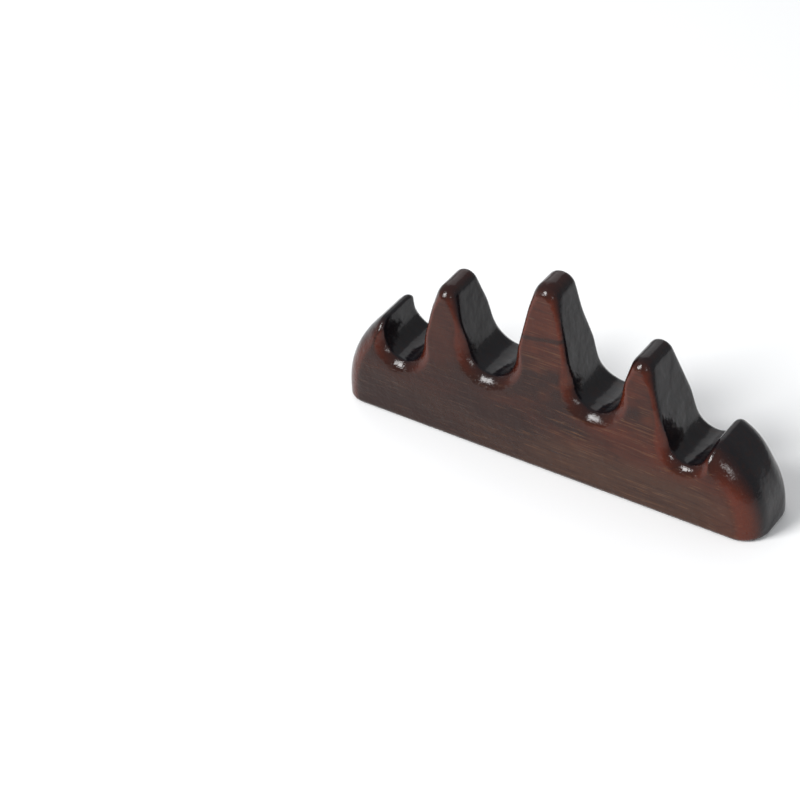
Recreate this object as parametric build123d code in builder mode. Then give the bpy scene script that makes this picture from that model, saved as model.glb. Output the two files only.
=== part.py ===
from build123d import *

import os
from math import asin, cos, degrees, radians, sin, sqrt, tan

# A five-peaked brush rack, carved from one block of dark rosewood.
#
# The rack stands on its flat underside and looks like a row of mountains. Writing brushes lie across it,
# from front to back, in the four round-bottomed valleys between the peaks.
# +X runs along the rack, from its steep left end to its long right end, -Y is the front face and +Z is up.
# The origin is the middle of the underside. All sizes are in millimetres, and all leans are degrees from upright.

# The front and back faces: how far apart they stand at the underside, the height to which they rise upright,
# the radius in which they then bend in, and their lean from there up to the crests.
base_depth = 19.0
face_upright_height = 9.0
face_bend_radius = 60.0
face_lean = 10.0

# The valleys, from left to right: height of the floor, radius of the floor, and the leans of the two flanks.
valleys = [
    (15.7, 5.3, 9.0, 9.8),
    (20.0, 6.2, 19.5, 9.5),
    (20.1, 6.0, 15.6, 10.3),
    (15.2, 4.75, 19.7, 15.2),
]

# The three peaks between the valleys, from left to right: height of the crest and radius of the rounded tip.
peaks = [
    (38.2, 2.8),
    (46.9, 3.5),
    (37.0, 2.9),
]

# Each end rises upright for a little, and its shoulder then bows in to the crest of the end peak.
# The crest is where the bow meets the flank, before that arris is rubbed, and the reach is from there to the end.
left_upright_height = 3.6
left_crest_height = 25.0
left_reach = 9.9
right_upright_height = 2.1
right_crest_height = 22.2
right_reach = 13.6

# The corners between the ends and the faces are rounded in one sweep, from the foot to the crest.
left_corner_radius = 5.0
right_corner_radius = 6.7

# The arrises of the sawn surfaces are rubbed round, and the edge of the underside is taken off.
arris_radius = 1.4
foot_chamfer = 0.8

# The lips: each valley's floor opens on to both faces through a scoop, which is worked round the valley's floor
# with the tool held a little down. Its curve starts on the face and meets the floor at a crisp edge.
lip_curve_radius = 4.25
lip_width = 3.7
lip_slant = 3.0

tiny = 0.001
head_room = 5.0
half_depth = base_depth / 2
top_height = max(crest_height for crest_height, tip_radius in peaks) + head_room


def flank_run(rise, gap, lean):
    """Give how far a flank's upper circle lies beyond its lower one, when it is higher by the rise.

    The flank is straight and touches both circles, and the gap is their two radii together.
    """
    return (gap + rise * sin(radians(lean))) / cos(radians(lean))


def bow_radius(reach, rise):
    """Give the radius of a shoulder that starts upright and comes in by the reach over the rise."""
    return (reach**2 + rise**2) / (2 * reach)


# The circles of the floors and the tips by turns, as place, centre height and radius, and the flanks between them.
# They start at the first valley, and are then moved along to bring the middle of the rack to the origin.
circles = []
leans = [valleys[0][2]]
place = 0.0
for index, (floor_height, floor_radius, left_lean, right_lean) in enumerate(valleys):
    floor_z = floor_height + floor_radius
    if index > 0:
        crest_height, tip_radius = peaks[index - 1]
        tip_z = crest_height - tip_radius
        before_x, before_z, before_radius = circles[-1]
        place = before_x + flank_run(tip_z - before_z, tip_radius + before_radius, leans[-1])
        circles.append((place, tip_z, tip_radius))
        leans.append(left_lean)
        place += flank_run(tip_z - floor_z, tip_radius + floor_radius, left_lean)
    circles.append((place, floor_z, floor_radius))
    leans.append(right_lean)

first_x, first_z, first_radius = circles[0]
last_x, last_z, last_radius = circles[-1]
left_crest = first_x - flank_run(left_crest_height - first_z, first_radius, leans[0])
right_crest = last_x + flank_run(right_crest_height - last_z, last_radius, leans[-1])
middle = (left_crest - left_reach + right_crest + right_reach) / 2
circles = [(place - middle, height, radius) for place, height, radius in circles]
first_x = circles[0][0]
last_x = circles[-1][0]
left_end = left_crest - left_reach - middle
right_end = right_crest + right_reach - middle
flank_top_left = first_x - flank_run(top_height - first_z, first_radius, leans[0])
flank_top_right = last_x + flank_run(top_height - last_z, last_radius, leans[-1])

# The block's section, between its front and back faces.
bend_y = half_depth - face_bend_radius * (1 - cos(radians(face_lean)))
bend_z = face_upright_height + face_bend_radius * sin(radians(face_lean))
top_y = bend_y - (top_height - bend_z) * tan(radians(face_lean))
with BuildSketch(Plane.YZ.offset(first_x)) as section:
    with BuildLine():
        Line((0, 0), (half_depth, 0))
        Line((half_depth, 0), (half_depth, face_upright_height))
        RadiusArc((half_depth, face_upright_height), (bend_y, bend_z), -face_bend_radius)
        Polyline((bend_y, bend_z), (top_y, top_height), (0, top_height))
        mirror(about=Plane.YZ)
    make_face()

# What is sawn away above the mountain outline.
with BuildSketch(Plane.XZ) as sky:
    with BuildLine():
        reached = (flank_top_left, top_height)
        for index, ((place, height, radius), lean_in, lean_out) in enumerate(zip(circles, leans, leans[1:])):
            side = 1 if index % 2 else -1
            arc_start = (place - radius * cos(radians(lean_in)), height + side * radius * sin(radians(lean_in)))
            arc_end = (place + radius * cos(radians(lean_out)), height + side * radius * sin(radians(lean_out)))
            Line(reached, arc_start)
            RadiusArc(arc_start, arc_end, side * radius)
            reached = arc_end
        Polyline(reached, (flank_top_right, top_height), (flank_top_left, top_height))
    make_face()

# The two end blocks, from the middle of the outer valleys to the ends, with their bowed shoulders.
with BuildPart() as end_blocks:
    for side, end_x, inner_x, upright_height, shoulder_radius in (
        (-1, left_end, first_x, left_upright_height, bow_radius(left_reach, left_crest_height - left_upright_height)),
        (1, right_end, last_x, right_upright_height, bow_radius(right_reach, right_crest_height - right_upright_height)),
    ):
        across = abs(end_x - inner_x) - shoulder_radius
        inner_top = upright_height + sqrt(shoulder_radius**2 - across**2)
        with BuildSketch(Plane.XZ):
            with BuildLine():
                Polyline((inner_x, inner_top), (inner_x, 0), (end_x, 0), (end_x, upright_height))
                RadiusArc((end_x, upright_height), (inner_x, inner_top), -side * shoulder_radius)
            make_face()
        extrude(amount=half_depth, both=True)
    extrude(section.sketch, amount=right_end - left_end, both=True, mode=Mode.INTERSECT)
    for end, corner_radius in ((0, left_corner_radius), (-1, right_corner_radius)):
        shoulder = end_blocks.faces().filter_by(GeomType.CYLINDER).sort_by(Axis.X)[end]
        fillet(shoulder.edges().filter_by(Axis.Y, reverse=True), radius=corner_radius)
    extrude(sky.sketch, amount=base_depth, both=True, mode=Mode.SUBTRACT)

with BuildPart() as carved_rack:
    # The middle of the block, sawn to the mountain outline, with the end blocks.
    extrude(section.sketch, amount=last_x - first_x)
    extrude(sky.sketch, amount=base_depth, both=True, mode=Mode.SUBTRACT)
    add(end_blocks.part)

    # The edge of the underside.
    chamfer(carved_rack.faces().sort_by(Axis.Z)[0].edges(), length=foot_chamfer)

    # The arrises: every edge of the sawn surfaces, but not the smooth joins from one to the next.
    sawn = (
        carved_rack.faces()
        .filter_by(lambda face: abs(face.normal_at().Y) < tiny)
        .filter_by_position(Axis.X, left_crest - middle, right_crest - middle)
        .sort_by(Axis.Z)[1:]
    )
    crossing = sawn.edges().filter_by(Axis.Y).sort_by(Axis.X)
    end_crests = [crossing[0], crossing[-1]]
    fillet(sawn.edges().filter_by(Axis.Y, reverse=True) + end_crests, radius=arris_radius)

    # The lips at both mouths of each valley, down from one flank and round to the other.
    lip_angle = degrees(asin(lip_width / lip_curve_radius))
    for place, height, floor_radius in circles[::2]:
        lip_reach = floor_radius + lip_width
        face_bend = asin(max(height - lip_reach - face_upright_height, 0) / face_bend_radius)
        mouth_y = half_depth - face_bend_radius * (1 - cos(face_bend)) + lip_reach * sin(radians(lip_slant))
        for side in (-1, 1):
            mouth = (place, side * mouth_y, height)
            outwards = (0, side * cos(radians(lip_slant)), -sin(radians(lip_slant)))
            upwards = (0, side * sin(radians(lip_slant)), cos(radians(lip_slant)))
            with BuildSketch(Plane(mouth, x_dir=(side, 0, 0), z_dir=upwards)):
                with BuildLine():
                    curve = JernArc((lip_reach, 0), (-1, 0), lip_curve_radius, lip_angle)
                    Polyline(curve @ 1, (0, (curve @ 1).Y), (0, half_depth), (lip_reach, half_depth), curve @ 0)
                make_face()
            revolve(axis=Axis(mouth, outwards), revolution_arc=180, mode=Mode.SUBTRACT)

carved_rack.part.label = "carved_rack"

os.makedirs("parts", exist_ok=True)
export_step(carved_rack.part, "parts/carved_rack.step")
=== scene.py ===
from math import cos, pi, radians, sin

import bpy
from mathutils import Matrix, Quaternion, Vector


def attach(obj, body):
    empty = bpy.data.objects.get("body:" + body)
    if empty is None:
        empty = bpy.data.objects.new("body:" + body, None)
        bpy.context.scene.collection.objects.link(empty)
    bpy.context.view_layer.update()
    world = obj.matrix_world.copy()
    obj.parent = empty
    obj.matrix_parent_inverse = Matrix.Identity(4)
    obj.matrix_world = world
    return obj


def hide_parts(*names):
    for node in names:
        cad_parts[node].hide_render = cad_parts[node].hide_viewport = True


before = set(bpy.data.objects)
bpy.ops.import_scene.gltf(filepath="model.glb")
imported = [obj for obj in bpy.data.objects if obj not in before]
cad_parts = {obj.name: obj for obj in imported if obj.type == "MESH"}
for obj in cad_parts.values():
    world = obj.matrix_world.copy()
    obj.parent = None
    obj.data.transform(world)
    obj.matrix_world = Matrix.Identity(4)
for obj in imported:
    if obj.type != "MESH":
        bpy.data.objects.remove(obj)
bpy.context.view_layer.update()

# The rack itself: one block of dark rosewood, sawn to a mountain outline. Its faces lean in to the crests, its
# ends are domed, and each valley opens on to both faces through a scooped lip. It is rubbed smooth and lacquered,
# and stands loose on its flat underside. The sizes of this section are in millimetres, and the leans in degrees.
MILLIMETRE = 0.001

# The valleys, from left to right: height of the floor, radius of the floor, and the leans of the two flanks.
valleys = [
    (15.7, 5.3, 9.0, 9.8),
    (20.0, 6.2, 19.5, 9.5),
    (20.1, 6.0, 15.6, 10.3),
    (15.2, 4.75, 19.7, 15.2),
]

# The three peaks between the valleys, from left to right: height of the crest and radius of the rounded tip.
peaks = [
    (38.2, 2.8),
    (46.9, 3.5),
    (37.0, 2.9),
]

# Each end: height to which it rises upright, height of its crest before it is rubbed, and reach out from there.
left_end_sizes = (3.6, 25.0, 9.9)
right_end_sizes = (2.1, 22.2, 13.6)

base_depth = 19.0
arris_radius = 1.5


def flank_run(rise, gap, lean):
    """Give how far a flank's upper circle lies beyond its lower one, when it is higher by the rise."""
    return (gap + rise * sin(radians(lean))) / cos(radians(lean))


# The floors and the tips as circles, each with its place, centre height, radius, and the leans on its two sides.
floors = []
tips = []
place = 0.0
for index, (floor_height, floor_radius, left_lean, right_lean) in enumerate(valleys):
    floor_z = floor_height + floor_radius
    if index > 0:
        crest_height, tip_radius = peaks[index - 1]
        tip_z = crest_height - tip_radius
        before_x, before_z, before_radius, lean_before, lean = floors[-1]
        place = before_x + flank_run(tip_z - before_z, tip_radius + before_radius, lean)
        tips.append((place, tip_z, tip_radius, lean, left_lean))
        place += flank_run(tip_z - floor_z, tip_radius + floor_radius, left_lean)
    floors.append((place, floor_z, floor_radius, left_lean, right_lean))


def end_and_bow(floor_circle, lean, side, end_sizes):
    """Give an end's place, and the radius of the bow in which its shoulder comes in to the flank."""
    floor_x, floor_z, floor_radius = floor_circle
    upright_height, crest_height, reach = end_sizes
    rise = crest_height - upright_height
    end_x = floor_x + side * (flank_run(crest_height - floor_z, floor_radius, lean) + reach)
    return end_x, (reach**2 + rise**2) / (2 * reach)


left_end, left_bow = end_and_bow(floors[0][:3], floors[0][3], -1, left_end_sizes)
right_end, right_bow = end_and_bow(floors[-1][:3], floors[-1][4], 1, right_end_sizes)

# The middle of the rack is at the origin, as it is in the frame.
middle = (left_end + right_end) / 2
floors = [(circle[0] - middle, *circle[1:]) for circle in floors]
tips = [(circle[0] - middle, *circle[1:]) for circle in tips]
left_end -= middle
right_end -= middle


def calc(tree, operation, *values):
    """Add a Math node fed by sockets or plain numbers, and give its output."""
    node = tree.nodes.new("ShaderNodeMath")
    node.operation = operation
    for socket, value in zip(node.inputs, values):
        if isinstance(value, bpy.types.NodeSocket):
            tree.links.new(value, socket)
        else:
            socket.default_value = value
    return node.outputs[0]


def node_group(name, kind, inputs, outputs):
    """Start a node group, whose sockets are given as name and kind, and give it with its inner sockets."""
    tree = bpy.data.node_groups.new(name, kind)
    for socket_name, socket_kind in inputs:
        tree.interface.new_socket(socket_name, in_out="INPUT", socket_type=f"NodeSocket{socket_kind}")
    for socket_name, socket_kind in outputs:
        tree.interface.new_socket(socket_name, in_out="OUTPUT", socket_type=f"NodeSocket{socket_kind}")
    return tree, tree.nodes.new("NodeGroupInput").outputs, tree.nodes.new("NodeGroupOutput").inputs


def place_group(tree, group, **values):
    """Put a node group in a tree. A value's name is its socket's, with _ for a space."""
    shading = tree.bl_idname == "ShaderNodeTree"
    node = tree.nodes.new("ShaderNodeGroup" if shading else "GeometryNodeGroup")
    node.node_tree = group
    for name, value in values.items():
        socket = node.inputs[name.replace("_", " ")]
        if isinstance(value, bpy.types.NodeSocket):
            tree.links.new(value, socket)
        else:
            socket.default_value = value
    return node.outputs


def floats(*names):
    """Give a list of named float sockets."""
    return [(name, "Float") for name in names]


# Depth below two surfaces at once, with the arris between them rubbed to a radius.
rub, given, result = node_group("rub_arris", "GeometryNodeTree", floats("First", "Second", "Radius"), floats("Depth"))
shorts = [
    calc(rub, "MAXIMUM", calc(rub, "SUBTRACT", given["Radius"], given[name]), 0) for name in ("First", "Second")
]
squares = [calc(rub, "MULTIPLY", short, short) for short in shorts]
shallower = calc(rub, "MINIMUM", given["First"], given["Second"])
rub_depth = calc(
    rub,
    "SUBTRACT",
    calc(rub, "MAXIMUM", given["Radius"], shallower),
    calc(rub, "SQRT", calc(rub, "ADD", *squares)),
)
rub.links.new(rub_depth, result["Depth"])


def rubbed(tree, first, second, radius):
    """Add the rub_arris group to a tree and give its depth."""
    return place_group(tree, rub, First=first, Second=second, Radius=radius)["Depth"]


# Distance out from the middle of a round that runs on into two straight flanks, which lean to either side of it.
# Up is the way that the round points.
round_off, given, result = node_group(
    "round_with_flanks",
    "GeometryNodeTree",
    floats("Along", "Up", "Left lean", "Right lean"),
    floats("Distance"),
)
turn = calc(round_off, "ARCTAN2", given["Along"], given["Up"])
quarter_turn = pi / 2
turn = calc(round_off, "MAXIMUM", turn, calc(round_off, "SUBTRACT", given["Left lean"], quarter_turn))
turn = calc(round_off, "MINIMUM", turn, calc(round_off, "SUBTRACT", quarter_turn, given["Right lean"]))
distance = calc(
    round_off,
    "ADD",
    calc(round_off, "MULTIPLY", given["Along"], calc(round_off, "SINE", turn)),
    calc(round_off, "MULTIPLY", given["Up"], calc(round_off, "COSINE", turn)),
)
round_off.links.new(distance, result["Distance"])

# Depth of the wood below a valley's floor and flanks, and height above the middle of its floor's round.
valley, given, result = node_group(
    "valley_depth",
    "GeometryNodeTree",
    floats("X", "Z", "Place", "Height", "Radius", "Left lean", "Right lean"),
    floats("Depth", "Above"),
)
above = calc(valley, "SUBTRACT", given["Z"], given["Height"])
reached = place_group(
    valley,
    round_off,
    Along=calc(valley, "SUBTRACT", given["X"], given["Place"]),
    Up=calc(valley, "MULTIPLY", above, -1),
    Left_lean=given["Left lean"],
    Right_lean=given["Right lean"],
)["Distance"]
valley.links.new(calc(valley, "SUBTRACT", reached, given["Radius"]), result["Depth"])
valley.links.new(above, result["Above"])

# Depth of the wood below the outline, once a peak's tip is rounded, and the rub of its arris, which is broader
# at the crest's nose.
tip_group, given, result = node_group(
    "round_tip",
    "GeometryNodeTree",
    floats(
        "X", "Z", "Outline", "Arris", "From", "To", "Place", "Height", "Radius", "Left lean", "Right lean", "Nose",
    ),
    floats("Outline", "Arris"),
)
above = calc(tip_group, "SUBTRACT", given["Z"], given["Height"])
reached = place_group(
    tip_group,
    round_off,
    Along=calc(tip_group, "SUBTRACT", given["X"], given["Place"]),
    Up=above,
    Left_lean=given["Left lean"],
    Right_lean=given["Right lean"],
)["Distance"]
depth = calc(tip_group, "SUBTRACT", given["Radius"], reached)
between = calc(
    tip_group,
    "MULTIPLY",
    calc(tip_group, "GREATER_THAN", given["X"], given["From"]),
    calc(tip_group, "LESS_THAN", given["X"], given["To"]),
)
in_reach = calc(tip_group, "MULTIPLY", between, calc(tip_group, "GREATER_THAN", above, 0))
change = calc(tip_group, "MULTIPLY", in_reach, calc(tip_group, "SUBTRACT", depth, given["Outline"]))
tip_group.links.new(calc(tip_group, "ADD", given["Outline"], change), result["Outline"])
broader = tip_group.nodes.new("ShaderNodeMapRange")
broader.interpolation_type = "SMOOTHSTEP"
tip_group.links.new(above, broader.inputs["Value"])
broader.inputs["From Min"].default_value = -4.0
tip_group.links.new(given["Radius"], broader.inputs["From Max"])
tip_group.links.new(calc(tip_group, "SUBTRACT", given["Nose"], given["Arris"]), broader.inputs["To Max"])
more = calc(tip_group, "MULTIPLY", between, broader.outputs["Result"])
tip_group.links.new(calc(tip_group, "ADD", given["Arris"], more), result["Arris"])

# Depth of the wood below an end, which rises upright and then bows in. X runs out to the end.
shoulder, given, result = node_group(
    "shoulder_depth",
    "GeometryNodeTree",
    floats("X", "Z", "End", "Valley place", "Upright height", "Bow radius"),
    floats("Depth"),
)
rise = calc(shoulder, "MAXIMUM", calc(shoulder, "SUBTRACT", given["Z"], given["Upright height"]), 0)
out = calc(shoulder, "SUBTRACT", given["X"], calc(shoulder, "SUBTRACT", given["End"], given["Bow radius"]))
squares = [calc(shoulder, "MULTIPLY", value, value) for value in (out, rise)]
reached = calc(shoulder, "SQRT", calc(shoulder, "ADD", *squares))
below_bow = calc(shoulder, "SUBTRACT", given["Bow radius"], reached)
inward = calc(shoulder, "SUBTRACT", given["Valley place"], given["X"])
shoulder.links.new(calc(shoulder, "MAXIMUM", below_bow, inward), result["Depth"])

# Depth of a point below the finished surface.
SIZES = [
    "Base depth", "Face upright", "Face bend", "Face lean", "Arris", "Left corner", "Right corner", "Foot",
    "Lip curve", "Lip width", "Lip start", "Lip fade", "End crest", "Back fullness",
    "Nose", "Back corner share",
]
wood, given, result = node_group(
    "wood_depth",
    "GeometryNodeTree",
    [("Position", "Vector"), *floats(*SIZES)],
    floats("Depth"),
)
split = wood.nodes.new("ShaderNodeSeparateXYZ")
wood.links.new(given["Position"], split.inputs[0])
x, y, z = split.outputs

# The front and back faces rise upright, and then bend in to their lean.
bend_middle = calc(wood, "SUBTRACT", calc(wood, "DIVIDE", given["Base depth"], 2), given["Face bend"])
out = calc(wood, "SUBTRACT", calc(wood, "ABSOLUTE", y), bend_middle)
rise = calc(wood, "SUBTRACT", z, given["Face upright"])
turn = calc(wood, "MINIMUM", calc(wood, "MAXIMUM", calc(wood, "ARCTAN2", rise, out), 0), given["Face lean"])
reached = calc(
    wood,
    "ADD",
    calc(wood, "MULTIPLY", out, calc(wood, "COSINE", turn)),
    calc(wood, "MULTIPLY", rise, calc(wood, "SINE", turn)),
)
face = calc(wood, "SUBTRACT", given["Face bend"], reached)

# The tallest peak is left a little fuller at the back.
full = wood.nodes.new("ShaderNodeMapRange")
full.interpolation_type = "SMOOTHSTEP"
wood.links.new(z, full.inputs["Value"])
full.inputs["From Min"].default_value = peaks[0][0] - 2
full.inputs["From Max"].default_value = peaks[1][0]
wood.links.new(given["Back fullness"], full.inputs["To Max"])
face = calc(wood, "ADD", face, calc(wood, "MULTIPLY", full.outputs["Result"], calc(wood, "GREATER_THAN", y, 0)))

at_front = calc(wood, "LESS_THAN", y, 0)
nose = calc(wood, "MULTIPLY", at_front, calc(wood, "SUBTRACT", given["Nose"], given["Arris"]))
nose = calc(wood, "ADD", given["Arris"], nose)

# The mountain outline, and the scoop of each lip, which runs out into the plain arris up the flanks.
cuts = []
lips = []
for floor_x, floor_z, floor_radius, left_lean, right_lean in floors:
    cut = place_group(
        wood,
        valley,
        X=x,
        Z=z,
        Place=floor_x,
        Height=floor_z,
        Radius=floor_radius,
        Left_lean=radians(left_lean),
        Right_lean=radians(right_lean),
    )
    fade = wood.nodes.new("ShaderNodeMapRange")
    fade.interpolation_type = "SMOOTHSTEP"
    wood.links.new(cut["Above"], fade.inputs["Value"])
    wood.links.new(given["Lip start"], fade.inputs["From Min"])
    wood.links.new(given["Lip fade"], fade.inputs["From Max"])
    shut = fade.outputs["Result"]
    spare = calc(wood, "SUBTRACT", given["Lip curve"], given["Arris"])
    lip_radius = calc(wood, "SUBTRACT", given["Lip curve"], calc(wood, "MULTIPLY", spare, shut))
    stand_off = calc(wood, "SUBTRACT", given["Lip curve"], given["Lip width"])
    stand_off = calc(wood, "MULTIPLY", stand_off, calc(wood, "SUBTRACT", 1, shut))
    lips.append(rubbed(wood, calc(wood, "ADD", cut["Depth"], stand_off), face, lip_radius))
    cuts.append(cut["Depth"])
arris = given["Arris"]
outline = cuts[0]
for cut in cuts[1:]:
    outline = calc(wood, "MINIMUM", outline, cut)
for (start_x, *_), (stop_x, *_), (tip_x, tip_z, tip_radius, left_lean, right_lean) in zip(floors, floors[1:], tips):
    rounded = place_group(
        wood,
        tip_group,
        X=x,
        Z=z,
        Outline=outline,
        Arris=arris,
        From=start_x,
        To=stop_x,
        Place=tip_x,
        Height=tip_z,
        Radius=tip_radius,
        Left_lean=radians(left_lean),
        Right_lean=radians(right_lean),
        Nose=nose,
    )
    outline = rounded["Outline"]
    arris = rounded["Arris"]
whole = rubbed(wood, outline, face, arris)

# Each end's shoulder and corners, and its crest, where they meet the flank of the outer valley. The corners are
# rounded less at the back of the crests.
crest_start = 12.0
crest_full = 21.0
tighter = wood.nodes.new("ShaderNodeMapRange")
tighter.interpolation_type = "SMOOTHSTEP"
wood.links.new(z, tighter.inputs["Value"])
tighter.inputs["From Min"].default_value = crest_start
tighter.inputs["From Max"].default_value = crest_full
wood.links.new(calc(wood, "SUBTRACT", 1, given["Back corner share"]), tighter.inputs["To Max"])
tighter = calc(wood, "MULTIPLY", tighter.outputs["Result"], calc(wood, "GREATER_THAN", y, 0))
for side, end_x, floor_x, end_sizes, bow_radius, corner, cut in (
    (-1, left_end, floors[0][0], left_end_sizes, left_bow, "Left corner", cuts[0]),
    (1, right_end, floors[-1][0], right_end_sizes, right_bow, "Right corner", cuts[-1]),
):
    end = place_group(
        wood,
        shoulder,
        X=calc(wood, "MULTIPLY", x, side),
        Z=z,
        End=side * end_x,
        Valley_place=side * floor_x,
        Upright_height=end_sizes[0],
        Bow_radius=bow_radius,
    )["Depth"]
    flank = calc(wood, "MAXIMUM", cut, calc(wood, "MULTIPLY", calc(wood, "SUBTRACT", floor_x, x), side))
    corner_radius = calc(wood, "MULTIPLY", given[corner], calc(wood, "SUBTRACT", 1, tighter))
    cornered = rubbed(wood, end, face, corner_radius)
    whole = calc(wood, "MINIMUM", whole, rubbed(wood, flank, cornered, given["End crest"]))

# The lips and the foot.
for lip in lips:
    whole = calc(wood, "MINIMUM", whole, lip)
wood.links.new(rubbed(wood, whole, z, given["Foot"]), result["Depth"])

# The carving: the surface where the depth is nought, as a fine mesh.
CELLS = ["Cells long", "Cells deep", "Cells high"]
CORNERS = ["Lowest corner", "Highest corner"]
carve, given, result = node_group(
    "carve_rack",
    "GeometryNodeTree",
    [
        ("Geometry", "Geometry"),
        *floats(*SIZES),
        *[(name, "Int") for name in CELLS],
        *[(name, "Vector") for name in CORNERS],
        ("Wood", "Material"),
    ],
    [("Geometry", "Geometry")],
)


def depth_at(position):
    """Give the depth socket of the wood at a position."""
    sizes = {name.replace(" ", "_"): given[name] for name in SIZES}
    return place_group(carve, wood, Position=position, **sizes)["Depth"]


here = carve.nodes.new("GeometryNodeInputPosition").outputs[0]
volume = carve.nodes.new("GeometryNodeVolumeCube")
carve.links.new(calc(carve, "ADD", depth_at(here), 1), volume.inputs["Density"])
for name, socket in zip(CORNERS + CELLS, ("Min", "Max", "Resolution X", "Resolution Y", "Resolution Z")):
    carve.links.new(given[name], volume.inputs[socket])
skin = carve.nodes.new("GeometryNodeVolumeToMesh")
skin.inputs["Threshold"].default_value = 1.0
carve.links.new(volume.outputs[0], skin.inputs["Volume"])

# The skin is pulled on to the true surface, along the slope of the depth.
step = 0.02
slope = carve.nodes.new("ShaderNodeCombineXYZ")
for axis, socket in enumerate(slope.inputs):
    depths = []
    for sign in (1, -1):
        move = carve.nodes.new("ShaderNodeVectorMath")
        move.operation = "ADD"
        carve.links.new(here, move.inputs[0])
        move.inputs[1].default_value[axis] = sign * step
        depths.append(depth_at(move.outputs[0]))
    carve.links.new(calc(carve, "DIVIDE", calc(carve, "SUBTRACT", *depths), 2 * step), socket)
squared = carve.nodes.new("ShaderNodeVectorMath")
squared.operation = "DOT_PRODUCT"
for socket in squared.inputs[:2]:
    carve.links.new(slope.outputs[0], socket)
pull = carve.nodes.new("ShaderNodeVectorMath")
pull.operation = "SCALE"
carve.links.new(slope.outputs[0], pull.inputs[0])
amount = calc(carve, "MULTIPLY", calc(carve, "DIVIDE", depth_at(here), squared.outputs["Value"]), -1)
carve.links.new(amount, pull.inputs["Scale"])
settle = carve.nodes.new("GeometryNodeSetPosition")
carve.links.new(skin.outputs[0], settle.inputs["Geometry"])
carve.links.new(pull.outputs[0], settle.inputs["Offset"])
shrink = carve.nodes.new("GeometryNodeTransform")
shrink.inputs["Scale"].default_value = (MILLIMETRE,) * 3
carve.links.new(settle.outputs[0], shrink.inputs["Geometry"])
smooth = carve.nodes.new("GeometryNodeSetShadeSmooth")
carve.links.new(shrink.outputs[0], smooth.inputs["Geometry"])
real = carve.nodes.new("GeometryNodeRealizeInstances")
carve.links.new(smooth.outputs[0], real.inputs["Geometry"])
dress = carve.nodes.new("GeometryNodeSetMaterial")
carve.links.new(real.outputs[0], dress.inputs["Geometry"])
carve.links.new(given["Wood"], dress.inputs["Material"])
carve.links.new(dress.outputs[0], result["Geometry"])

# The figure of the wood, on coordinates in metres: fine streaks and short open pores that run along the block,
# broad clouds of darker heartwood, and a few dark growth lines.
figure, given, result = node_group(
    "rosewood_figure",
    "ShaderNodeTree",
    [("Vector", "Vector"), *floats("Streak width", "Pore width", "Cloud size", "Wander")],
    floats("Streaks", "Pores", "Clouds", "Growth lines"),
)


def noise(tree, vector, scale, detail, roughness=0.5):
    """Add a Noise Texture node at a scale, and give its value."""
    node = tree.nodes.new("ShaderNodeTexNoise")
    tree.links.new(vector, node.inputs["Vector"])
    for name, value in (("Scale", scale), ("Detail", detail), ("Roughness", roughness)):
        if isinstance(value, bpy.types.NodeSocket):
            tree.links.new(value, node.inputs[name])
        else:
            node.inputs[name].default_value = value
    return node.outputs["Fac"]


def ramp(tree, value, start, stop, low=0.0, high=1.0):
    """Add a smooth Map Range from the start and the stop of a value, and give its result."""
    node = tree.nodes.new("ShaderNodeMapRange")
    node.interpolation_type = "SMOOTHSTEP"
    tree.links.new(value, node.inputs["Value"])
    for name, number in (("From Min", start), ("From Max", stop), ("To Min", low), ("To Max", high)):
        node.inputs[name].default_value = number
    return node.outputs["Result"]


def stretched(tree, vector, along):
    """Give a vector whose pattern is drawn out along the rack by a number of times."""
    node = tree.nodes.new("ShaderNodeMapping")
    node.vector_type = "POINT"
    tree.links.new(vector, node.inputs["Vector"])
    node.inputs["Scale"].default_value = (1 / along, 1, 1)
    return node.outputs["Vector"]


# The grain wanders a little off straight.
wander = calc(figure, "MULTIPLY", calc(figure, "SUBTRACT", noise(figure, given["Vector"], 28.0, 1.0), 0.5), given["Wander"])
shift = figure.nodes.new("ShaderNodeCombineXYZ")
figure.links.new(wander, shift.inputs["Y"])
figure.links.new(wander, shift.inputs["Z"])
moved = figure.nodes.new("ShaderNodeVectorMath")
moved.operation = "ADD"
figure.links.new(given["Vector"], moved.inputs[0])
figure.links.new(shift.outputs[0], moved.inputs[1])
grain = moved.outputs[0]
streak_scale = calc(figure, "DIVIDE", 1, given["Streak width"])
pore_scale = calc(figure, "DIVIDE", 1, given["Pore width"])
cloud_scale = calc(figure, "DIVIDE", 1, given["Cloud size"])
figure.links.new(noise(figure, stretched(figure, grain, 26.0), streak_scale, 5.0, 0.62), result["Streaks"])
pores = noise(figure, stretched(figure, grain, 22.0), pore_scale, 2.0, 0.55)
figure.links.new(ramp(figure, pores, 0.60, 0.72), result["Pores"])
figure.links.new(noise(figure, stretched(figure, grain, 2.2), cloud_scale, 3.0, 0.55), result["Clouds"])
growth = noise(figure, stretched(figure, grain, 9.0), calc(figure, "MULTIPLY", cloud_scale, 4.5), 1.0)
growth = calc(figure, "ABSOLUTE", calc(figure, "SUBTRACT", growth, 0.5))
figure.links.new(ramp(figure, growth, 0.0, 0.022, 1.0, 0.0), result["Growth lines"])

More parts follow.
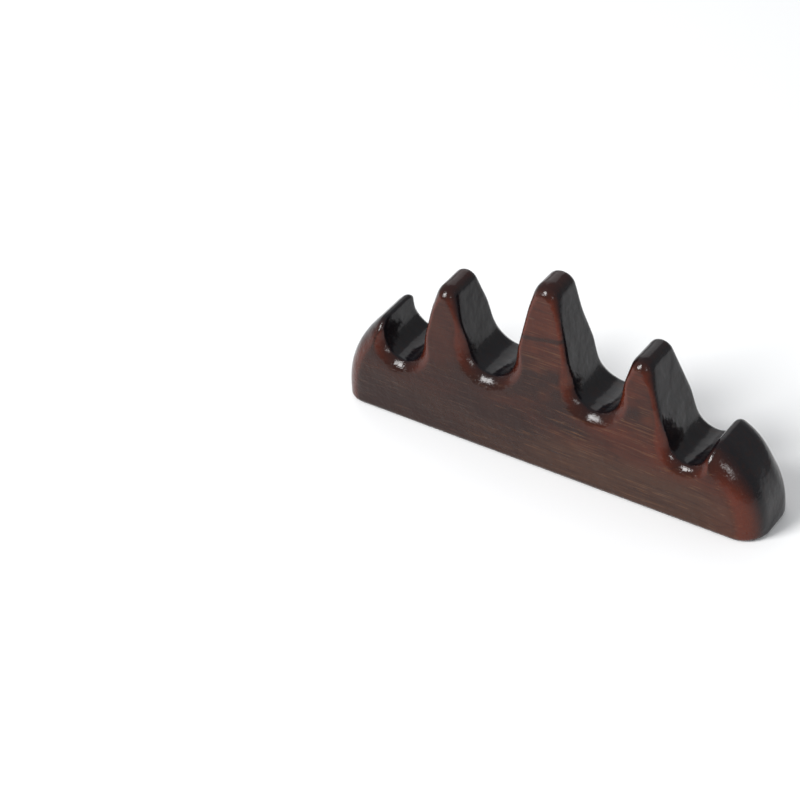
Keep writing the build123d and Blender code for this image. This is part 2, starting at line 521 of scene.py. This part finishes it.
# The lacquer's skin: slow waves and finer ripples from the brush, and a faint dimple over every pore.
lacquer_skin, given, result = node_group(
    "lacquer_skin",
    "ShaderNodeTree",
    [("Vector", "Vector"), *floats("Wave size", "Wave height", "Ripple share", "Pores", "Pore depth")],
    floats("Height"),
)
waves = noise(lacquer_skin, given["Vector"], calc(lacquer_skin, "DIVIDE", 1, given["Wave size"]), 2.0, 0.45)
ripples = noise(lacquer_skin, given["Vector"], calc(lacquer_skin, "DIVIDE", 2.7, given["Wave size"]), 3.5, 0.6)
waves = calc(lacquer_skin, "MULTIPLY_ADD", ripples, given["Ripple share"], waves)
lifted = calc(lacquer_skin, "MULTIPLY", waves, given["Wave height"])
dimples = calc(lacquer_skin, "MULTIPLY", given["Pores"], given["Pore depth"])
lacquer_skin.links.new(calc(lacquer_skin, "SUBTRACT", lifted, dimples), result["Height"])

# Dark rosewood under clear gloss lacquer. The faces show the red-brown figure. The sawn flanks and floors took
# up more of the finish and are nearly black, and the rubbed arrises between them show a brighter red.
lacquered = bpy.data.materials.new("lacquered_rosewood")
lacquered.use_nodes = True
tree = lacquered.node_tree
shader = tree.nodes["Principled BSDF"]
position = tree.nodes.new("ShaderNodeTexCoord").outputs["Object"]
split = tree.nodes.new("ShaderNodeSeparateXYZ")
tree.links.new(position, split.inputs[0])
x, y, z = split.outputs


def blend(first, second, factor, mode="MIX"):
    """Mix two colours, each a socket or plain numbers, and give the result."""
    node = tree.nodes.new("ShaderNodeMix")
    node.data_type = "RGBA"
    node.blend_type = mode
    for socket, value in ((node.inputs["Factor"], factor), (node.inputs["A"], first), (node.inputs["B"], second)):
        if isinstance(value, bpy.types.NodeSocket):
            tree.links.new(value, socket)
        else:
            socket.default_value = value if socket.type == "VALUE" else (*value, 1)
    return node.outputs["Result"]


facing = tree.nodes.new("ShaderNodeSeparateXYZ")
tree.links.new(tree.nodes.new("ShaderNodeNewGeometry").outputs["Normal"], facing.inputs[0])
sawn = ramp(tree, calc(tree, "ABSOLUTE", facing.outputs["Y"]), 0.28, 0.84, 1.0, 0.0)
turning = ramp(tree, calc(tree, "ABSOLUTE", facing.outputs["X"]), 0.10, 0.38)
upturned = ramp(tree, facing.outputs["Z"], 0.22, 0.62)
wood_marks = place_group(
    tree, figure, Vector=position, Streak_width=0.00085, Pore_width=0.00032, Cloud_size=0.017, Wander=0.004
)

dark_heart = (0.018, 0.0052, 0.0034)
red_brown = (0.060, 0.0108, 0.0038)
# Red-brown greyed by a painted reflection of the pale floor, for the lower band of the faces.
floor_reflection_brown = (0.045, 0.0172, 0.0092)
orange_brown = (0.098, 0.0235, 0.0080)
tan_streak = (0.150, 0.068, 0.030)
near_black = (0.0055, 0.0046, 0.0062)
bright_red = (0.112, 0.0165, 0.0056)

# One dark vein crosses the face of the tallest peak: its height in the middle, slope, half width and reach.
vein_place = 0.0347
vein_slope = 0.17
vein_width = 0.0008
vein_reach = 0.012

# Painted reflection: below about 12 mm the faces turn from red-brown to the greyer olive-brown, in place of the pale
# floor's reflection in the upright band.
floor_reflection_low = ramp(tree, z, 0.0085, 0.0155, 1.0, 0.0)
wood_colour = blend(red_brown, floor_reflection_brown, floor_reflection_low)
wood_colour = blend(dark_heart, wood_colour, ramp(tree, wood_marks["Clouds"], 0.36, 0.56))
streaks = wood_marks["Streaks"]
wood_colour = blend(dark_heart, wood_colour, ramp(tree, streaks, 0.30, 0.50, 0.50, 1.0))
wood_colour = blend(wood_colour, tan_streak, ramp(tree, streaks, 0.56, 0.72, 0.0, 0.36))
blotches = ramp(tree, noise(tree, stretched(tree, position, 1.5), 210.0, 2.0), 0.48, 0.72, 0.0, 0.55)
blotches = calc(tree, "MULTIPLY", blotches, ramp(tree, z, 0.013, 0.028))
wood_colour = blend(wood_colour, orange_brown, blotches)
wood_colour = blend(wood_colour, dark_heart, calc(tree, "MULTIPLY", wood_marks["Growth lines"], 0.40))
wood_colour = blend(wood_colour, tan_streak, calc(tree, "MULTIPLY", wood_marks["Pores"], 0.38))
darker_side = ramp(tree, calc(tree, "MULTIPLY_ADD", streaks, 0.030, x), -0.012, 0.030, 0.66, 0.0)
wood_colour = blend(wood_colour, dark_heart, darker_side)
wood_colour = blend(wood_colour, bright_red, ramp(tree, x, 0.038, 0.050, 0.0, 0.20))
thin_lacquer = calc(tree, "MULTIPLY", turning, ramp(tree, x, 0.020, 0.040, 0.40, 0.58))
wood_colour = blend(wood_colour, bright_red, thin_lacquer)
wood_colour = blend(wood_colour, dark_heart, calc(tree, "MULTIPLY", upturned, 0.72))
vein_height = calc(tree, "MULTIPLY_ADD", x, vein_slope, vein_place)
off_vein = calc(tree, "ABSOLUTE", calc(tree, "SUBTRACT", z, vein_height))
vein = ramp(tree, off_vein, vein_width / 4, vein_width, 1.0, 0.0)
vein = calc(tree, "MULTIPLY", vein, ramp(tree, calc(tree, "ABSOLUTE", x), vein_reach / 2, vein_reach, 1.0, 0.0))
wood_colour = blend(wood_colour, dark_heart, calc(tree, "MULTIPLY", vein, 0.85))
sawn_colour = blend(near_black, dark_heart, ramp(tree, streaks, 0.45, 0.70, 0.0, 0.6))
worn_crest = calc(tree, "MULTIPLY", ramp(tree, z, 0.030, 0.036), ramp(tree, facing.outputs["Z"], 0.45, 0.95))
worn_crest = calc(tree, "MULTIPLY", worn_crest, ramp(tree, x, 0.008, 0.018, 0.25, 0.06))
sawn_colour = blend(sawn_colour, red_brown, worn_crest)
tree.links.new(blend(wood_colour, sawn_colour, sawn), shader.inputs["Base Color"])

smudges = noise(tree, position, 95.0, 3.0)
tree.links.new(ramp(tree, smudges, 0.35, 0.68, 0.12, 0.21), shader.inputs["Roughness"])
shader.inputs["Specular IOR Level"].default_value = 0.31
skin_height = place_group(
    tree,
    lacquer_skin,
    Vector=position,
    Wave_size=0.0042,
    Wave_height=0.00024,
    Ripple_share=calc(tree, "MULTIPLY_ADD", sawn, -0.46, 0.62),
    Pores=wood_marks["Pores"],
    Pore_depth=0.000012,
)["Height"]
bump = tree.nodes.new("ShaderNodeBump")
bump.inputs["Distance"].default_value = 1.0
tree.links.new(skin_height, bump.inputs["Height"])
tree.links.new(bump.outputs["Normal"], shader.inputs["Normal"])

# The block is carved once, and kept as a plain mesh.
cell = 0.45
margin = 1.35
lowest = Vector((left_end, -base_depth / 2, 0)) - Vector((margin,) * 3)
highest = Vector((right_end, base_depth / 2, peaks[1][0])) + Vector((margin,) * 3)
chosen = {
    "Base depth": base_depth,
    "Face upright": 9.0,
    "Face bend": 60.0,
    "Face lean": radians(10.0),
    "Arris": arris_radius,
    "Left corner": 5.0,
    "Right corner": 6.7,
    "Foot": 1.3,
    "Lip curve": 4.3,
    "Lip width": 3.7,
    "Lip start": -1.5,
    "Lip fade": 5.0,
    "End crest": 1.7,
    "Nose": 3.2,
    "Back corner share": 0.6,
    "Back fullness": 1.3,
    "Lowest corner": lowest,
    "Highest corner": highest,
    "Wood": lacquered,
}
for name, side in zip(CELLS, highest - lowest):
    chosen[name] = round(side / cell)
blank = bpy.data.objects.new("blank", bpy.data.meshes.new("blank"))
bpy.context.collection.objects.link(blank)
carving = blank.modifiers.new("carving", "NODES")
carving.node_group = carve
for item in carve.interface.items_tree:
    if item.in_out == "INPUT" and item.name in chosen:
        carving[item.identifier] = chosen[item.name]
mesh = bpy.data.meshes.new_from_object(blank.evaluated_get(bpy.context.evaluated_depsgraph_get()))
bpy.data.objects.remove(blank)
rack = bpy.data.objects.new("carved_rack_skin", mesh)
bpy.context.collection.objects.link(rack)
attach(rack, "root")
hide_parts("carved_rack")

# The floor: a pale, matt sheet that the rack stands on.
floor_mesh = bpy.data.meshes.new("floor")
half_side = 3.0
floor_mesh.from_pydata(
    [(-half_side, -half_side, 0), (half_side, -half_side, 0), (half_side, half_side, 0), (-half_side, half_side, 0)],
    [],
    [(0, 1, 2, 3)],
)
floor = bpy.data.objects.new("floor", floor_mesh)
bpy.context.collection.objects.link(floor)
paper = bpy.data.materials.new("pale_floor")
paper.use_nodes = True
paper.node_tree.nodes["Principled BSDF"].inputs["Base Color"].default_value = (0.95, 0.95, 0.95, 1)
paper.node_tree.nodes["Principled BSDF"].inputs["Roughness"].default_value = 0.9
floor_mesh.materials.append(paper)

# The light: a plain pale room, and one soft lamp high on the left of the front.
world = bpy.data.worlds.new("room")
bpy.context.scene.world = world
world.use_nodes = True
world.node_tree.nodes["Background"].inputs["Color"].default_value = (0.95, 0.975, 1, 1)
world.node_tree.nodes["Background"].inputs["Strength"].default_value = 0.46


def lamp(name, place, aim, size, power):
    """Add a square soft lamp that points at a place."""
    light = bpy.data.lights.new(name, "AREA")
    light.size = size
    light.energy = power
    holder = bpy.data.objects.new(name, light)
    holder.location = place
    holder.rotation_euler = (Vector(aim) - Vector(place)).to_track_quat("-Z", "Y").to_euler()
    bpy.context.collection.objects.link(holder)


lamp("window", (-0.5, -0.75, 0.8), (0, 0, 0.02), 0.44, 13.5)
lamp("back wall", (-0.7, 1.0, 0.95), (0, 0, 0.02), 1.2, 3.5)
lamp("side lamp", (0.60, -0.66, 0.66), (0, 0, 0.02), 0.17, 1.4)

# The camera, which looks down on the rack from the right of its front.
azimuth = radians(34.6)
elevation = radians(37.816)
roll = radians(-2.667)
distance = 0.68406
aim = Vector((-0.04529, 0, -0.00354))
backwards = Vector((sin(azimuth) * cos(elevation), -cos(azimuth) * cos(elevation), sin(elevation)))
camera_data = bpy.data.cameras.new("camera")
camera_data.sensor_width = 36
camera_data.lens = 36 * 2858.1 / 800
camera_data.clip_start = 0.01
camera = bpy.data.objects.new("camera", camera_data)
camera.location = aim + backwards * distance
camera.rotation_mode = "QUATERNION"
camera.rotation_quaternion = backwards.to_track_quat("Z", "Y") @ Quaternion((0, 0, 1), roll)
bpy.context.collection.objects.link(camera)
bpy.context.scene.camera = camera
bpy.context.scene.view_settings.view_transform = "Standard"
